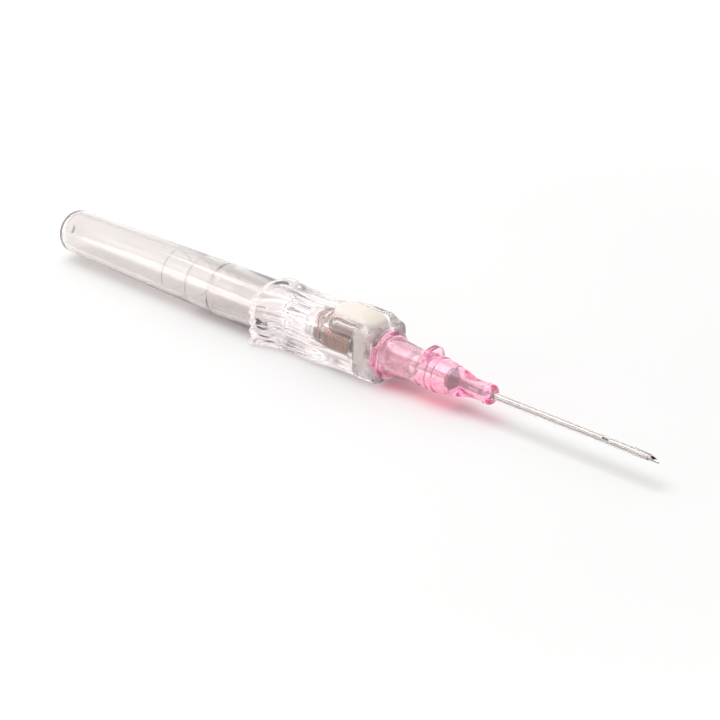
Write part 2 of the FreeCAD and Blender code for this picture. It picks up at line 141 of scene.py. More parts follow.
def grid_faces(rows: int, columns: int, wrap_rows: bool) -> Array:
    """Quads of a grid whose columns always close, as an (n, 4) array of vertex numbers."""
    last = rows if wrap_rows else rows - 1
    row = np.arange(last)[:, None]
    column = np.arange(columns)[None]
    after_row = (row + 1) % rows
    after_column = (column + 1) % columns
    return np.stack([row * columns + column, after_row * columns + column,
                     after_row * columns + after_column, row * columns + after_column],
                    axis=-1).reshape(-1, 4)


def link(name: str, data: Any) -> Piece:
    """New object with the given data, linked into the scene."""
    made = bpy.data.objects.new(name, data)
    bpy.context.scene.collection.objects.link(made)
    return made


def make_mesh(name: str, points: Array, quads: Array,
              fans: Sequence[Sequence[int]] = ()) -> Piece:
    """Object from vertices and faces, doubles merged and normals turned outwards.

    Args:
        name: Name of the object.
        points: Vertices in device millimetres.
        quads: Four-sided faces.
        fans: Other faces.

    Returns:
        The new object, linked into the scene.
    """
    mesh = bpy.data.meshes.new(name)
    mesh.from_pydata(placed(points).tolist(), [], quads.tolist() + [list(face) for face in fans])
    work = bmesh.new()
    work.from_mesh(mesh)
    bmesh.ops.remove_doubles(work, verts=work.verts, dist=1e-7)
    bmesh.ops.dissolve_degenerate(work, edges=work.edges, dist=1e-8)
    bmesh.ops.recalc_face_normals(work, faces=work.faces)
    work.to_mesh(mesh)
    work.free()
    return link(name, mesh)


def stack(name: str, rings: Sequence[Array] | Array) -> Piece:
    """Closed piece through rings of equally many points, with a face over each end."""
    count = len(rings[0])
    points = np.concatenate(rings)
    return make_mesh(name, points, grid_faces(len(rings), count, False),
                     [range(count), range(len(points) - count, len(points))])


def lathe(name: str, corners: Sequence[Corner], closed: bool, around: int = 96,
          steps: int = 8) -> Piece:
    """Surface of revolution about the device's axis.

    Formula: each point (x, r) of the profile goes round as (x, r cos a, r sin a), a from 0 to a
    full turn. Points with no radius fall together in a pole.

    Args:
        name: Name of the object.
        corners: (x, radius, rounding) of the half section.
        closed: Whether the half section is a loop clear of the axis.
        around: Points round the axis.
        steps: Parts of each rounding.

    Returns:
        The closed piece.
    """
    profile = rounded_path(corners, closed, steps)
    angle = full_turn(around)
    x = np.repeat(profile[:, :1], around, axis=1)
    points = np.stack([x, profile[:, 1:] * np.cos(angle), profile[:, 1:] * np.sin(angle)], -1)
    return make_mesh(name, points.reshape(-1, 3), grid_faces(len(profile), around, closed))


def inset(outline: Array, distance: float) -> Array:
    """Closed outline moved inwards: each point slides along the normal of its two neighbours."""
    along = np.roll(outline, -1, 0) - np.roll(outline, 1, 0)
    normal = np.stack([-along[:, 1], along[:, 0]], -1)
    normal /= np.linalg.norm(normal, axis=1)[:, None]
    area = np.sum(outline[:, 0] * np.roll(outline[:, 1], -1)
                  - outline[:, 1] * np.roll(outline[:, 0], -1))
    return outline + normal * distance * np.sign(area)


def prism(name: str, outline: Array, low_x: float, high_x: float, edge: float) -> Piece:
    """Outline in (y, z) carried along X, both rims softened by a small bevel.

    Args:
        name: Name of the object.
        outline: Closed outline.
        low_x: Rear station.
        high_x: Front station.
        edge: Width of the bevels.

    Returns:
        The closed piece.
    """
    small = inset(outline, edge)
    rows = [(low_x, small), (low_x + edge, outline), (high_x - edge, outline), (high_x, small)]
    return stack(name, [np.column_stack([np.full(len(line), x), line]) for x, line in rows])


def combine(piece: Piece, others: Sequence[tuple[Cut, Piece]]) -> None:
    """Adds closed meshes to a piece or takes them out of it, in order, and drops them."""
    for way, other in others:
        step = piece.modifiers.new(way.value, "BOOLEAN")
        step.operation = way.value
        step.solver = "EXACT"
        step.object = other
    bpy.context.view_layer.update()
    graph = bpy.context.evaluated_depsgraph_get()
    mesh = bpy.data.meshes.new_from_object(piece.evaluated_get(graph))
    piece.modifiers.clear()
    piece.data = mesh
    for _, other in others:
        bpy.data.objects.remove(other)


# Finishes


@dataclass(frozen=True)
class Amount:
    """A number in a node tree that adds its Math nodes when it is reckoned with."""

    book: "NodeBook"
    socket: Any

    def _math(self, operation: str, first: Any, second: Any) -> "Amount":
        """Math node on two amounts or numbers."""
        node = self.book.add("Math", {0: first, 1: second}, operation=operation)
        return Amount(self.book, node.outputs[0])

    def __add__(self, other: Any) -> "Amount":
        """Sum."""
        return self._math("ADD", self, other)

    __radd__ = __add__

    def __mul__(self, other: Any) -> "Amount":
        """Product."""
        return self._math("MULTIPLY", self, other)

    __rmul__ = __mul__

    def most(self, other: Any) -> "Amount":
        """The larger of two."""
        return self._math("MAXIMUM", self, other)


class NodeBook:
    """Node tree that nodes are added to by type, settings and socket values."""

    def __init__(self, tree: bpy.types.NodeTree) -> None:
        """Starts with an empty tree."""
        self.tree = tree
        tree.nodes.clear()

    def add(self, kind: str, values: dict[Any, Any] | None = None, **settings: Any
            ) -> bpy.types.Node:
        """Adds one node.

        Args:
            kind: Type of the node.
            values: Values or links of its sockets, by name or number.
            **settings: Its properties, set first.

        Returns:
            The node.
        """
        node = self.tree.nodes.new(f"ShaderNode{kind}")
        for name, value in settings.items():
            setattr(node, name, value)
        for name, value in (values or {}).items():
            socket = node.inputs[name]
            if isinstance(value, Amount):
                self.tree.links.new(value.socket, socket)
            elif isinstance(value, bpy.types.NodeSocket):
                self.tree.links.new(value, socket)
            else:
                socket.default_value = value
        return node

    def amount(self, node: bpy.types.Node, output: Any = 0) -> Amount:
        """One output of a node as an amount."""
        return Amount(self, node.outputs[output])

    def rays(self, kind: str) -> Amount:
        """1 for rays of one kind, such as Camera or Shadow, and 0 for the others."""
        return self.amount(self.add("LightPath"), f"Is {kind} Ray")

    def ramp(self, value: Any, start: float, end: float, low: float = 0.0,
             high: float = 1.0) -> Amount:
        """Smooth step of a value: low before start, high past end."""
        return self.amount(self.add(
            "MapRange", {"Value": value, "From Min": start, "From Max": end, "To Min": low,
                         "To Max": high}, interpolation_type="SMOOTHSTEP"))

    def measure(self, operation: str, *vectors: Any) -> Any:
        """Number that a Vector Math node makes of its vectors."""
        return self.add("VectorMath", dict(enumerate(vectors)),
                        operation=operation).outputs["Value"]

    def place(self, scale: Triple) -> Any:
        """Object coordinates stretched by a scale."""
        where = self.add("TexCoord")
        return self.add("Mapping", {"Vector": where.outputs["Object"], "Scale": scale},
                        vector_type="POINT").outputs[0]

    def noise(self, scale: Triple, detail: float = 2.0) -> Amount:
        """Noise between 0 and 1 on Object coordinates."""
        node = self.add("TexNoise", {"Vector": self.place(scale), "Scale": 1.0,
                                     "Detail": detail})
        return self.amount(node, "Fac")

    def blend(self, factor: Amount | float, first: Any, second: Any) -> Any:
        """Mix of two colours."""
        return self.add("Mix", {"Factor": factor, 6: first, 7: second},
                        data_type="RGBA").outputs[2]

    def bump(self, height: Amount, strength: float, distance: float) -> Any:
        """Normal of a bump."""
        return self.add("Bump", {
            "Height": height, "Strength": strength, "Distance": distance}).outputs[0]


def colour(red: float, green: float, blue: float) -> tuple[float, float, float, float]:
    """Opaque colour."""
    return red, green, blue, 1.0


def new_material(name: str) -> tuple[bpy.types.Material, NodeBook]:
    """Empty node material and its book."""
    material = bpy.data.materials.new(name)
    material.use_nodes = True
    return material, NodeBook(material.node_tree)


@dataclass(frozen=True)
class ClearFinish:
    """Clear or tinted moulding that lets light through to the table."""

    name: str
    tint: Triple
    deep_tint: Triple
    shade: Triple
    soak: Triple
    soak_per_metre: float
    clear: float = 0.85
    roughness: float = 0.03
    flow: float = 0.15
    ior: float = 1.5
    matte: Triple = (0.0, 0.0, 0.0)
    streaks: Triple = (160.0, 900.0, 900.0)
    haze: float = 2400.0
    bump_depth: float = 0.00004

    def make(self) -> bpy.types.Material:
        """Builds the material.

        Returns:
            Slightly milky glass with flow lines in its colour and surface, a colour that
            deepens with the plastic's thickness, and a tinted clear shader for the light
            that falls through it.
        """
        material, book = new_material(self.name)
        streaks = book.noise(self.streaks, 3)
        haze = book.noise((self.haze,) * 3, 2)
        rough = haze * self.roughness + self.roughness * 0.5
        start, end, most = self.matte
        if most > 0:
            where = book.add("SeparateXYZ", {"Vector": book.place((1, 1, 1))})
            rough = rough + book.ramp(where.outputs["X"], start * MILLIMETRE, end * MILLIMETRE,
                                      0.0, most)
        body = book.add("BsdfPrincipled", {
            "Base Color": book.blend(streaks, colour(*self.tint), colour(*self.deep_tint)),
            "Roughness": rough,
            "IOR": self.ior,
            "Transmission Weight": self.clear,
            "Normal": book.bump(streaks, self.flow, self.bump_depth),
        })
        shadow = book.add("BsdfTransparent", {"Color": colour(*self.shade)})
        passing = book.rays("Shadow").most(book.rays("Diffuse"))
        mixed = book.add("MixShader", {
            0: passing, 1: body.outputs[0], 2: shadow.outputs[0]})
        depth = book.add("VolumeAbsorption", {
            "Color": colour(*self.soak), "Density": self.soak_per_metre})
        book.add("OutputMaterial", {
            "Surface": mixed.outputs[0], "Volume": depth.outputs[0]})
        return material


@dataclass(frozen=True)
class SatinFinish:
    """Opaque moulding with a fine satin grain."""

    name: str
    base: Triple
    worn: Triple
    roughness: float = 0.42
    grain: float = 3000.0
    mottle: float = 350.0
    uneven: float = 0.12
    bump_depth: float = 0.00001

    def make(self) -> bpy.types.Material:
        """Builds the material from a mottled colour, an uneven gloss and a fine bump."""
        material, book = new_material(self.name)
        mottle = book.noise((self.mottle,) * 3, 3)
        grain = book.noise((self.grain,) * 3, 2)
        body = book.add("BsdfPrincipled", {
            "Base Color": book.blend(mottle, colour(*self.base), colour(*self.worn)),
            "Roughness": self.roughness + self.uneven * mottle,
            "IOR": 1.5,
            "Subsurface Weight": 0.12,
            "Subsurface Radius": (0.0012, 0.0009, 0.0006),
            "Subsurface Scale": 0.6,
            "Normal": book.bump(grain, 0.12, self.bump_depth),
        })
        book.add("OutputMaterial", {"Surface": body.outputs[0]})
        return material


@dataclass(frozen=True)
class SteelFinish:
    """Drawn or ground steel with fine lines along its length."""

    name: str
    base: Triple
    dark: Triple
    roughness: float = 0.24
    lines: Triple = (300.0, 9000.0, 9000.0)
    uneven: float = 0.14
    bump_depth: float = 0.000004

    def make(self) -> bpy.types.Material:
        """Builds the material from stretched noise in its colour, gloss and bump."""
        material, book = new_material(self.name)
        drawn = book.noise(self.lines, 2)
        body = book.add("BsdfPrincipled", {
            "Base Color": book.blend(drawn, colour(*self.base), colour(*self.dark)),
            "Metallic": 1.0,
            "Roughness": self.roughness + self.uneven * drawn,
            "Normal": book.bump(drawn, 0.15, self.bump_depth),
        })
        book.add("OutputMaterial", {"Surface": body.outputs[0]})
        return material


def dress(piece: Piece, material: bpy.types.Material, body: Body | None,
          node: str, crease: float = 32.0) -> Piece:
    """Finishes a piece and ties it to the frame.

    Args:
        piece: The new piece.
        material: Its finish.
        body: CAD body that it rides on, or None if it bends between two.
        node: CAD node that it stands for.
        crease: Angle in degrees past which an edge stays sharp.

    Returns:
        The piece.
    """
    mesh = piece.data
    mesh.polygons.foreach_set("use_smooth", np.ones(len(mesh.polygons), bool))
    mesh.set_sharp_from_angle(angle=math.radians(crease))
    mesh.materials.clear()
    mesh.materials.append(material)
    if body is not None:
        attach(piece, body.value)
    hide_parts(node)
    log.info("%s: %d faces", piece.name, len(mesh.polygons))
    return piece


# The cannula's pieces, in device millimetres: X = 0 at the tip of the hub's nose


@dataclass
class Barrel:
    """Clear tube with a round closed end, which the grip's spigot plugs."""

    rear_x: float = -77.95
    inner_end_x: float = -77.20
    draft_from_x: float = -77.05
    socket_x: float = -52.10
    step_x: float = -56.60
    front_x: float = -38.90
    end_radius: float = 3.07
    inner_radius: float = 2.42
    draft: float = 1.16
    wall: float = 0.65
    socket_wall: float = 0.55
    end_round: float = 1.9
    inner_round: float = 1.4
    bead_x: float = -47.40
    bead_half: float = 0.75
    bead_height: float = 0.06
    gate_depth: float = 0.16
    finish: ClearFinish = ClearFinish(
        "barrel clear", (0.85, 0.832, 0.822), (0.82, 0.802, 0.792), (0.86, 0.845, 0.84),
        (0.74, 0.66, 0.64), 150.0, 0.93, 0.07, 0.03)

    def outer(self, x: float) -> float:
        """Outer radius: it grows forwards in proportion to the tangent of the draft."""
        return self.end_radius + (x - self.draft_from_x) * math.tan(math.radians(self.draft))

    def socket(self) -> float:
        """Radius of the straight socket, one wall inside the outer surface at its rear."""
        return self.outer(self.socket_x) - self.socket_wall

    def build(self) -> Piece:
        """Turns the tube from its half section and dresses it."""
        rear, front, step, end = self.rear_x, self.front_x - SKIN, self.step_x, self.inner_end_x
        half, bead, snug, floor = self.bead_half, self.bead_x, self.socket(), self.socket_x - SKIN
        gate, inside = self.gate_depth, self.outer(step) - self.wall
        corners = [
            (rear + gate, 0, 0), (rear + gate, 0.35, 0.3), (rear, 0.95, 0.3),
            (rear, self.outer(rear), self.end_round), (front, self.outer(self.front_x), 0.06),
            (front, snug, 0.06), (bead + half, snug, 0.1),
            (bead + half / 2, snug + self.bead_height, 0.1),
            (bead - half / 2, snug + self.bead_height, 0.1), (bead - half, snug, 0.1),
            (floor, snug, 0.05), (floor - 0.1, self.outer(self.socket_x) - self.wall, 0.05),
            (step, inside, 0.04), (step - 0.1, inside - 0.05, 0.04),
            (end, self.inner_radius - 0.05, self.inner_round), (end, 0, 0),
        ]
        piece = lathe("barrel_tube", corners, False, 144, 10)
        return dress(piece, self.finish.make(), Body.HOUSING, "barrel")


def ease(x: Array, start: float, end: float) -> Array:
    """Smooth rise from 0 to 1 between two stations: three squares less two cubes."""
    share = np.clip((x - start) / (end - start), 0, 1)
    return share * share * (3 - 2 * share)


@dataclass
class Grip:
    """Clear finger grip: fluted flare, waist, front block, tail spigot and nose boss."""

    rear_x: float = -38.90
    face_x: float = -18.05
    bottom: float = 3.85
    flange: float = 0.6
    waist_from_rear: float = 6.2
    waist_end_from_rear: float = 9.3
    cheek_from_rear: float = 15.4
    cheek_end_from_rear: float = 18.1
    edge: float = 0.5
    edge_inset: float = 0.3
    rear_edge: float = 0.1
    rear_inset: float = 0.08
    flare: tuple[float, ...] = (4.55, 2.70, 3.98, 0.5, 0.4)
    waist: tuple[float, ...] = (3.38, 3.35, 3.75, 1.1, 1.1)
    cheek: tuple[float, ...] = (3.70, 4.30, 4.42, 2.4, 1.0)
    front: tuple[float, ...] = (3.70, 3.50, 3.72, 2.4, 1.0)
    flute_heights: tuple[float, ...] = (-2.55, -1.10, 0.35, 1.80)
    flute_half_width: float = 0.55
    flute_depth: float = 0.30
    spigot_end_x: float = -52.10
    lead_in: float = 0.5
    lead_in_drop: float = 0.08
    boss_end_x: float = -13.35
    boss_root_radius: float = 2.067
    boss_end_radius: float = 1.932
    bore_step_x: float = -48.50
    bore_step: float = 0.08
    chamber_radius: float = 2.50
    head_bore_radius: float = 1.72
    stem_bore_radius: float = 1.12
    spring_seat_x: float = -22.45
    end_wall_x: float = -18.90
    slot_low_x: float = -21.85
    slot_high_x: float = -19.75
    slot_floor: float = -2.95
    slot_half_width: float = 2.1
    pocket_floor: float = 2.30
    finish: ClearFinish = ClearFinish(
        "grip clear", (1.0, 0.985, 0.985), (0.99, 0.965, 0.965), (0.88, 0.86, 0.86),
        (0.80, 0.62, 0.64), 22.0, 0.95, 0.06, 0.3, 1.42, (4.1, 5.0, 0.22))

    def sizes(self, x: Array) -> Array:
        """Half width, side top, crown, low and top rounding at each station.

        Formula: the flare falls off as a parabola to the waist, and the waist, cheeks and front
        follow one another by smooth steps.
        """
        along = x - self.rear_x
        share = np.clip((self.waist_from_rear - along)
                        / (self.waist_from_rear - self.flange), 0, 1)[:, None] ** 2
        flare, waist, cheek, front = (np.array(v) for v in
                                      (self.flare, self.waist, self.cheek, self.front))
        rows = waist + (flare - waist) * share
        rows = rows + (cheek - waist) * ease(along, self.waist_end_from_rear,
                                             self.cheek_from_rear)[:, None]
        face = self.face_x - self.rear_x
        return rows + (front - cheek) * ease(along, self.cheek_end_from_rear,
                                             face - self.edge * 0.5)[:, None]

    def shell(self) -> Piece:
        """Outside of the grip as a grid of sections.

        Formula: each section is a flat bottom, a low quarter circle, an upright side less the
        flutes' parabolas, a top quarter circle and a crown that falls off with the square of y,
        mirrored about the middle.
        """
        x = np.concatenate([
            self.rear_x + np.array([0, 0.03, self.rear_edge]),
            np.linspace(self.rear_x + self.flange, self.face_x - self.edge, 90),
            self.face_x - self.edge * (1 - np.sin(np.linspace(0.15, math.pi / 2, 8))),
        ])
        size = self.sizes(x)
        width, top, crown, low, high = (size[:, [i]] for i in range(5))
        from_face = np.clip((x - self.face_x + self.edge) / self.edge, 0, 1)
        from_rear = np.clip((self.rear_x + self.rear_edge - x) / self.rear_edge, 0, 1)
        shrink = (self.edge_inset * (1 - np.sqrt(1 - from_face ** 2))
                  + self.rear_inset * (1 - np.sqrt(1 - from_rear ** 2)))[:, None]
        turn = np.linspace(0, math.pi / 2, 12)[None]
        up = np.linspace(0, 1, 72)[None]
        bottom = -self.bottom
        floor_y = np.linspace(0, 1, 8)[None, :-1] * (width - low)
        floor_z = np.full_like(floor_y, bottom)
        low_y = width - low * (1 - np.sin(turn))
        low_z = bottom + low * (1 - np.cos(turn))
        side_z = bottom + low + up * (top - high - bottom - low)
        along = (x - self.rear_x)[:, None]
        fade = 1 - ease(along, self.waist_from_rear, self.cheek_from_rear - 1)
        gap = np.min(np.abs(side_z[..., None] - np.array(self.flute_heights)), axis=-1)
        groove = np.clip(1 - (gap / self.flute_half_width) ** 2, 0, 1)
        side_y = width - self.flute_depth * fade * groove
        high_y = width - high * (1 - np.cos(turn))
        fall = (crown - top) / width ** 2
        high_z = crown - fall * high_y ** 2 - high * (1 - np.sin(turn))
        roof_y = np.linspace(1, 0, 14)[None, 1:] * (width - high)
        roof_z = crown - fall * roof_y ** 2
        half_y = np.concatenate([floor_y, low_y, side_y[:, 1:-1], high_y, roof_y], 1)
        half_z = np.concatenate([floor_z, low_z, side_z[:, 1:-1], high_z, roof_z], 1)
        y = np.concatenate([half_y, -half_y[:, -2:0:-1]], 1)
        z = np.concatenate([half_z, half_z[:, -2:0:-1]], 1)
        y = y * (1 - shrink / width)
        z = z * (1 - shrink / top)
        z = np.where(z < 0, np.maximum(z, bottom), z)
        return stack("grip_shell", np.stack([np.repeat(x[:, None], y.shape[1], 1), y, z], -1))

    def tail(self, barrel: Barrel) -> Piece:
        """Spigot that plugs the barrel's socket, a hair clear of it but for the snap bead."""
        bead, half, end = barrel.bead_x, barrel.bead_half, self.spigot_end_x
        root, snug = self.rear_x + self.flange / 2, barrel.socket() - 2 * SKIN
        raised = barrel.socket() + barrel.bead_height - SKIN
        corners = [
            (root, 0, 0), (root, snug, 0), (bead + half, snug, 0.1), (bead + half / 2, raised, 0.1),
            (bead - half / 2, raised, 0.1), (bead - half, snug, 0.1),
            (end + self.lead_in, snug, 0.3), (end, barrel.socket() - self.lead_in_drop, 0.12),
            (end, 0, 0),
        ]
        return lathe("spigot", corners, False, 144)

    def boss(self) -> Piece:
        """Tapered nose that carries the catheter hub."""
        root_x = (self.face_x + self.end_wall_x) / 2
        return lathe("boss", [
            (root_x, 0, 0), (root_x, self.boss_root_radius, 0),
            (self.boss_end_x, self.boss_end_radius, 0.3), (self.boss_end_x, 0, 0)], False)

    def bores(self) -> Piece:
        """Stepped hole for spring, head and stem."""
        wide, head, stem = self.chamber_radius, self.head_bore_radius, self.stem_bore_radius
        rear, seat, wall, front = (self.spigot_end_x - 1, self.spring_seat_x, self.end_wall_x,
                                   self.boss_end_x + 1)
        drop = self.bore_step
        corners = [
            (rear, 0, 0), (rear, wide + drop, 0), (self.bore_step_x, wide + drop, 0),
            (self.bore_step_x + drop, wide, 0), (seat, wide, 0.12), (seat, head, 0),
            (wall, head, 0.08), (wall, stem, 0), (front, stem, 0), (front, 0, 0),
        ]
        return lathe("bores", corners, False)

    def slot(self) -> Piece:
        """Slot that the latch plate slides in."""
        wide = self.slot_half_width
        outline = rounded_path([(-wide, self.slot_floor, 0.15), (wide, self.slot_floor, 0.15),
                                (wide, self.pocket_floor + 1, 0),
                                (-wide, self.pocket_floor + 1, 0)], True)
        return prism("slot", outline, self.slot_low_x, self.slot_high_x, 0.02)

    def build(self, barrel: Barrel, button: "Button") -> Piece:
        """Joins the outside, tail and boss, cuts the hollows and dresses the grip."""
        piece = self.shell()
        piece.name = "finger_grip"
        pocket = button.pocket(self.pocket_floor)
        combine(piece, [(Cut.ADD, self.tail(barrel)), (Cut.ADD, self.boss()),
                        (Cut.REMOVE, self.bores()), (Cut.REMOVE, self.slot()),
                        (Cut.REMOVE, pocket)])
        return dress(piece, self.finish.make(), Body.HOUSING, "grip")


@dataclass
class Button:
    """White thumb button with its keyhole latch plate."""

    front_x: float = -18.90
    rear_x: float = -26.60
    half_width: float = 2.25
    top: float = 5.00
    thickness: float = 1.50
    crest_from_rear: float = 4.0
    nose_drop: float = 1.10
    heel_drop: float = 0.25
    side_drop: float = 0.45
    corner: float = 1.9
    edge_round: float = 0.7
    gap: float = 0.10
    plate_low_x: float = -21.75
    plate_high_x: float = -19.85
    plate_half_width: float = 2.0
    plate_bottom: float = -1.75
    travel: float = 1.1
    head_bore_radius: float = 1.72
    neck_bore_radius: float = 1.12
    finish: SatinFinish = SatinFinish(
        "button white", (0.81, 0.75, 0.675), (0.78, 0.715, 0.64))

    def outline(self, margin: float) -> Array:
        """Plan outline of the pad in (x, y), grown by a margin."""
        rear, front = self.rear_x - margin, self.front_x + margin
        wide, corner = self.half_width + margin, self.corner + margin
        return rounded_path([(rear, -wide, corner), (front, -wide, corner),
                             (front, wide, corner), (rear, wide, corner)], True, 14)

    def pocket(self, floor: float) -> Piece:
        """Hollow in the grip that the pad sinks into."""
        line = self.outline(self.gap)
        return stack("pocket", [np.column_stack([line, np.full(len(line), z)])
                                for z in (floor, self.top + 1)])

    def crown(self, x: Array, y: Array) -> Array:
        """Height of the pad's top: two parabolas from the crest and one across the width."""
        crest = self.rear_x + self.crest_from_rear
        ahead = np.clip((x - crest) / (self.front_x - crest), 0, 1)
        behind = np.clip((crest - x) / self.crest_from_rear, 0, 1)
        across = (y / self.half_width) ** 2
        return (self.top - self.nose_drop * ahead ** 2 - self.heel_drop * behind ** 2
                - self.side_drop * across)

    def pad(self) -> Piece:
        """Crowned oblong pad as rings that shrink towards its middle.

        Formula: a ring at share s of the outline takes its height from the crown, less a quarter
        circle over the last stretch, and the lowest rings go straight down to the underside.
        """
        edge = self.outline(0)
        middle = np.array([(self.rear_x + self.front_x) / 2, 0])
        turn = np.linspace(0, math.pi / 2, 10)
        soft = self.edge_round
        low = self.top - self.thickness
        rings: list[Array] = []
        for share in np.linspace(0.04, 0.9, 12):
            flat = middle + (edge - middle) * share * (1 - soft / self.half_width)
            rings.append(np.column_stack([flat, self.crown(flat[:, 0], flat[:, 1])]))
        for angle in turn:
            flat = inset(edge, soft * (1 - math.sin(angle)))
            height = self.crown(flat[:, 0], flat[:, 1]) - soft * (1 - math.cos(angle))
            rings.append(np.column_stack([flat, np.maximum(height, low + 0.12)]))
        rings.append(np.column_stack([edge, np.full(len(edge), low + 0.1)]))
        rings.append(np.column_stack([inset(edge, 0.1), np.full(len(edge), low)]))
        return stack("thumb_button", rings)

    def plate(self) -> Piece:
        """Latch plate with a keyhole that is wide below its narrow top."""
        wide = self.plate_half_width
        outline = rounded_path([(-wide, self.plate_bottom, 0.2), (wide, self.plate_bottom, 0.2),
                                (wide, self.top - self.thickness + 0.2, 0),
                                (-wide, self.top - self.thickness + 0.2, 0)], True)
        piece = prism("latch_plate", outline, self.plate_low_x, self.plate_high_x, 0.04)
        angle = full_turn(64)
        circle = np.column_stack([np.cos(angle), np.sin(angle)])
        hole, narrow = circle * self.head_bore_radius, circle * self.neck_bore_radius
        low_x, high_x = self.plate_low_x - 0.5, self.plate_high_x + 0.5
        combine(piece, [
            (Cut.REMOVE, prism("keyhole", hole + [0, self.travel], low_x, high_x, 0.01)),
            (Cut.REMOVE, prism("keyhole_foot", narrow, low_x, high_x, 0.01)),
        ])
        return piece

    def build(self) -> list[Piece]:
        """Dresses the pad and the latch plate, which is sunk into the pad's underside."""
        material = self.finish.make()
        return [dress(piece, material, Body.BUTTON, "release_button")
                for piece in (self.pad(), self.plate())]


@dataclass
class Spring:
    """Compressed retraction spring that stretches when the needle is drawn back."""

    seat_x: float = -22.45
    rear_x: float = -28.85
    wire: float = 0.35
    inner_radius: float = 1.95
    turns: float = 15.0
    loose_from: float = 0.06
    loose_to: float = 0.15
    loose_gap: float = 0.75
    finish: SteelFinish = SteelFinish(
        "spring wire", (0.37, 0.19, 0.13), (0.17, 0.08, 0.05), 0.26, (2500.0, 2500.0, 2500.0))

    def build(self) -> Piece:
        """Sweeps the wire along its helix and dresses the spring.

        Formula: the middle of the wire is at (x, R cos a, R sin a). x grows in proportion to a, but
        for one looser turn near the rear, whose extra gap comes in by a smooth step. The wire's
        circle lies in the plane of the axis and the radius.
        """
        radius = self.inner_radius + self.wire / 2
        share = np.linspace(0, 1, int(self.turns * 56))
        angle = share * self.turns * 2 * math.pi
        span = self.seat_x - self.rear_x - self.wire
        loose = self.loose_gap * ease(share, self.loose_from, self.loose_to)
        middle = self.rear_x + self.wire / 2 + share * (span - self.loose_gap) + loose
        round_wire = full_turn(12)[None]
        reach = radius + self.wire / 2 * np.cos(round_wire)
        x = middle[:, None] + self.wire / 2 * np.sin(round_wire)
        piece = stack("return_spring", np.stack([
            x, reach * np.cos(angle)[:, None], reach * np.sin(angle)[:, None]], -1))
        dress(piece, self.finish.make(), None, "retraction_spring")
        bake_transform(piece)
        return piece


@dataclass
class Carriage:
    """Clear needle carriage with its vent plug and adhesive."""

    rear_x: float = -31.30
    flange_rear_x: float = -29.55
    flange_x: float = -28.85
    seat_x: float = -22.45
    neck_rear_x: float = -21.85
    neck_front_x: float = -19.75
    head_front_x: float = -19.00
    stem_front_x: float = -17.65
    body_radius: float = 1.75
    flange_radius: float = 2.30
    bore_radius: float = 1.20
    neck_radius: float = 1.0
    head_radius: float = 1.6
    stem_radius: float = 1.05
    needle_radius: float = 0.36
    plug_inset: float = 0.15
    plug_end: float = 2.15
    finish: ClearFinish = ClearFinish(
        "carriage clear", (0.99, 0.98, 0.975), (0.97, 0.96, 0.955), (0.90, 0.89, 0.89),
        (0.72, 0.66, 0.64), 120.0, 0.93)
    plug_finish: SatinFinish = SatinFinish(
        "vent plug white", (0.88, 0.87, 0.85), (0.80, 0.79, 0.77), 0.7, 9000.0)
    bead_finish: ClearFinish = ClearFinish(
        "cured bead", (0.80, 0.76, 0.70), (0.70, 0.66, 0.60), (0.8, 0.78, 0.74),
        (0.7, 0.62, 0.5), 400.0, 0.8, 0.1, 0.3)

    def build(self) -> list[Piece]:
        """Turns and dresses the carriage, the plug and the bead."""
        snug, body, flange = self.needle_radius + SKIN, self.body_radius, self.flange_radius
        rear, seat, step, front = self.rear_x, self.seat_x, self.flange_x - SKIN, self.stem_front_x
        neck, head, stem = self.neck_radius, self.head_radius, self.stem_radius
        corners = [
            (rear, self.bore_radius, 0), (rear, body, 0.2), (self.flange_rear_x, body, 0.05),
            (self.flange_rear_x, flange, 0.06), (step, flange, 0.06), (step, body, 0.05),
            (seat, body, 0.2), (self.neck_rear_x - 0.3, neck, 0.1),
            (self.neck_front_x, neck, 0.05), (self.neck_front_x, head, 0.06),
            (self.head_front_x, head, 0.2), (self.head_front_x, stem, 0.08),
            (front, stem, 0.15), (front, 0.61, 0.03), (front - 0.5, snug, 0.02),
            (seat - 1.2, snug, 0.1), (seat - 2.0, self.bore_radius, 0.2),
        ]
        carriage = lathe("needle_holder", corners, True)
        dress(carriage, self.finish.make(), Body.NEEDLE, "needle_carriage")
        low, high, wide = (rear + self.plug_inset, rear + self.plug_end,
                           self.bore_radius - SKIN)
        plug = lathe("porous_plug", [
            (low, 0, 0), (low, wide, 0.12), (high, wide, 0.12), (high, 0, 0)], False, 64)
        dress(plug, self.plug_finish.make(), Body.NEEDLE, "vent_plug")
        bead = lathe("bond_bead", [
            (front - 0.48, snug, 0), (front - 0.02, 0.59, 0.05), (front + 0.17, 0.57, 0.1),
            (front + 0.35, snug, 0)], True, 64)
        dress(bead, self.bead_finish.make(), Body.NEEDLE, "needle_adhesive")
        return [carriage, plug, bead]


